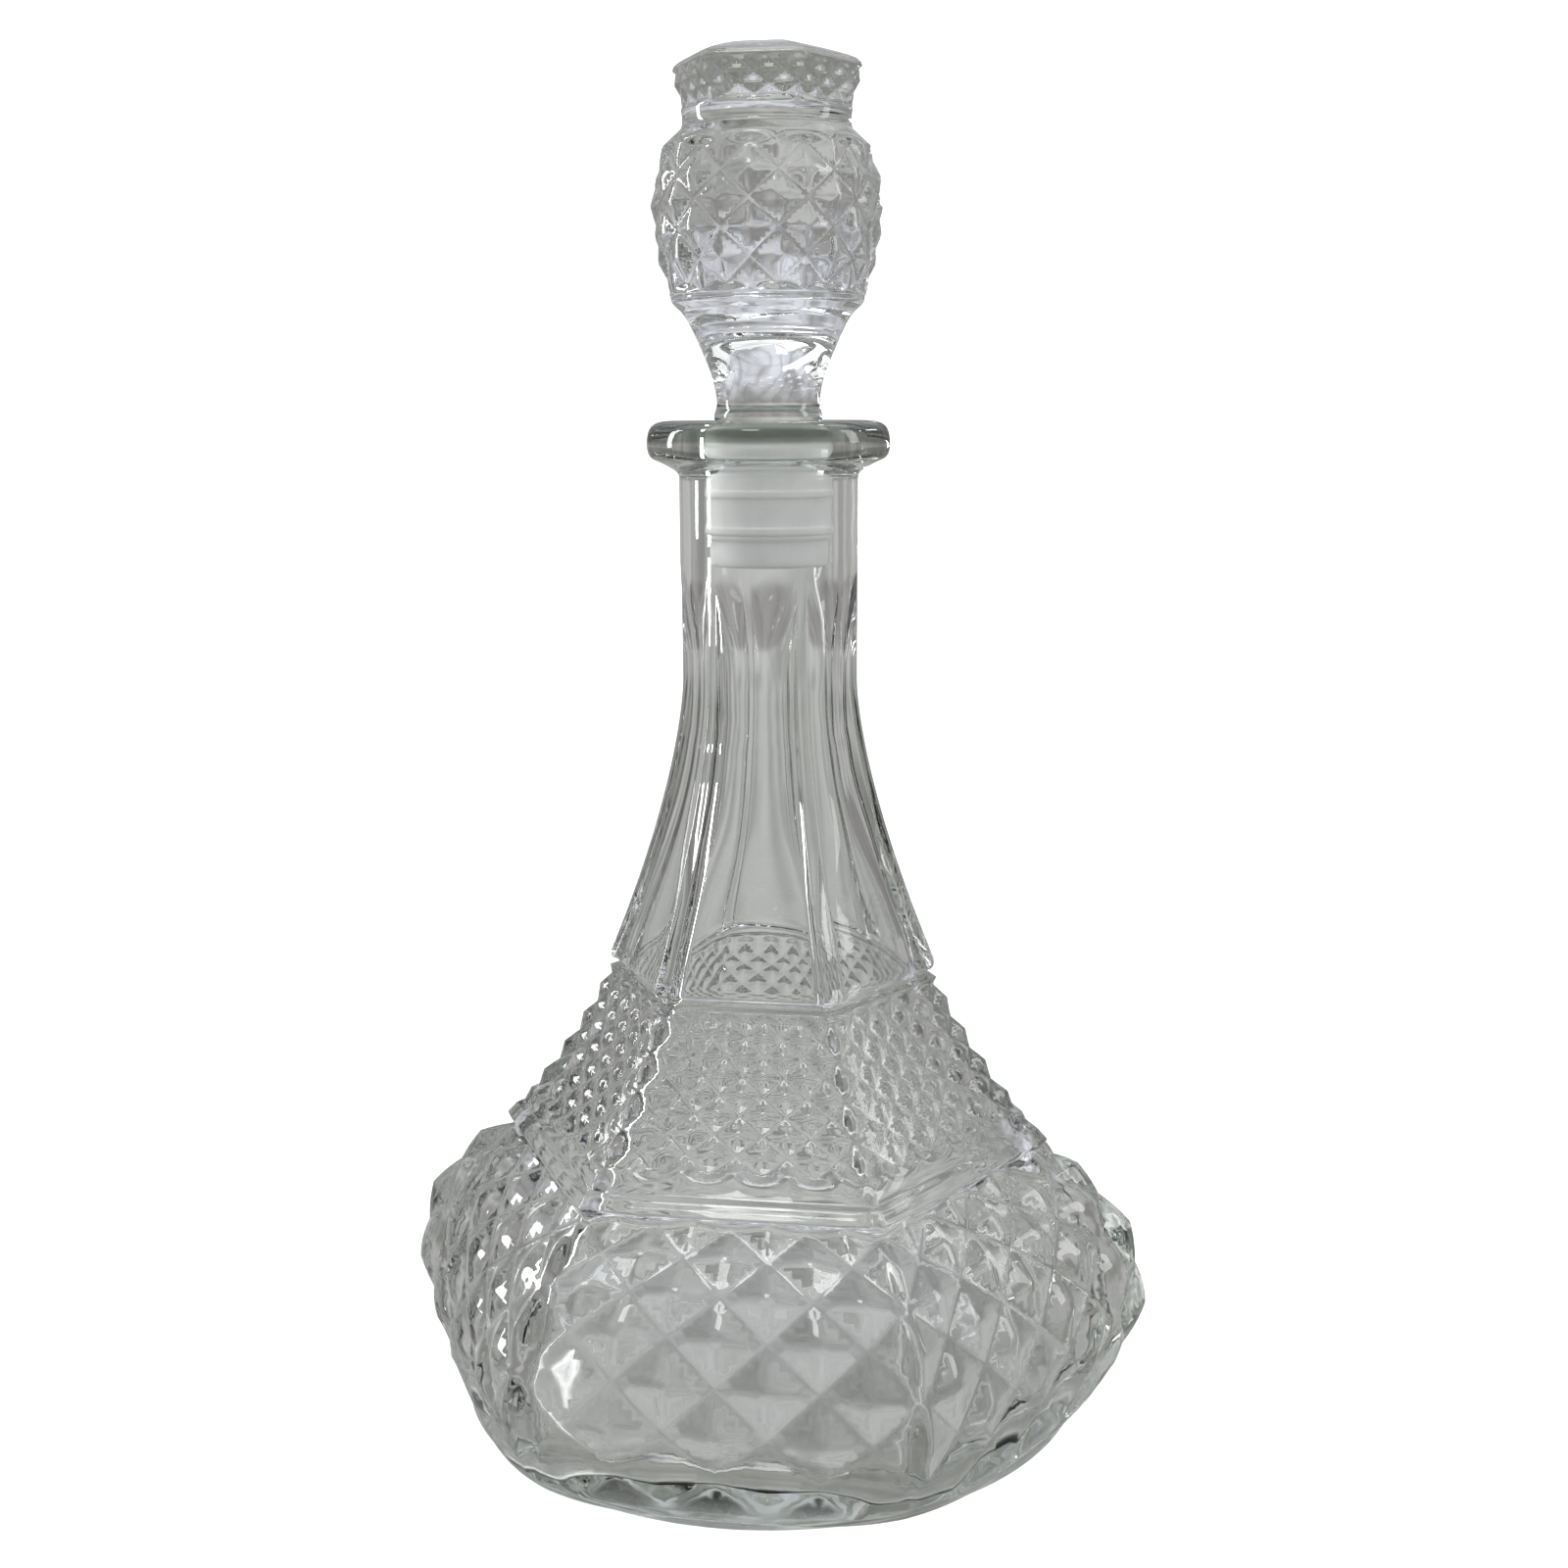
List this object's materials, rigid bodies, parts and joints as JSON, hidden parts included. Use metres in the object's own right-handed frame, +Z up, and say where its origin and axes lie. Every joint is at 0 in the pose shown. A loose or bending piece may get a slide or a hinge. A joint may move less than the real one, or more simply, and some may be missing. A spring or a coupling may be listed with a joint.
{
  "type": "glass decanter with stopper",
  "caption": "Six-sided pressed-glass decanter with a diamond-patterned bowl, flared panelled neck and a knob stopper in a plastic sealing sleeve, for keeping and serving spirits.",
  "frame": {"origin": "centre of the standing ring, on the surface the decanter stands on", "axes": "+Z up along the axis of the neck; one flat face of the six-sided body looks along -Y and two of its corners lie on the X axis"},
  "size_m": [0.1392, 0.1206, 0.2378],
  "materials": {
    "bottle_glass": "clear pressed soda-lime glass with a faint green tint, fire polished",
    "stopper_glass": "clear pressed soda-lime glass, fire polished",
    "sleeve_plastic": "translucent white polyethylene, satin"
  },
  "bodies": {
    "bottle": {"bottle": "bottle_glass"},
    "sleeve": {"stopper_sleeve": "sleeve_plastic"},
    "stopper": {"stopper": "stopper_glass"}
  },
  "joints": [
    {"name": "stopper_lift", "type": "slide", "parent": "bottle", "child": "sleeve", "axis": [0, 0, 1], "range_m": [0, 0.06]},
    {"name": "stopper_twist", "type": "hinge", "parent": "sleeve", "child": "stopper", "pos_m": [0, 0, 0.165], "axis": [0, 0, 1], "continuous": true}
  ]
}
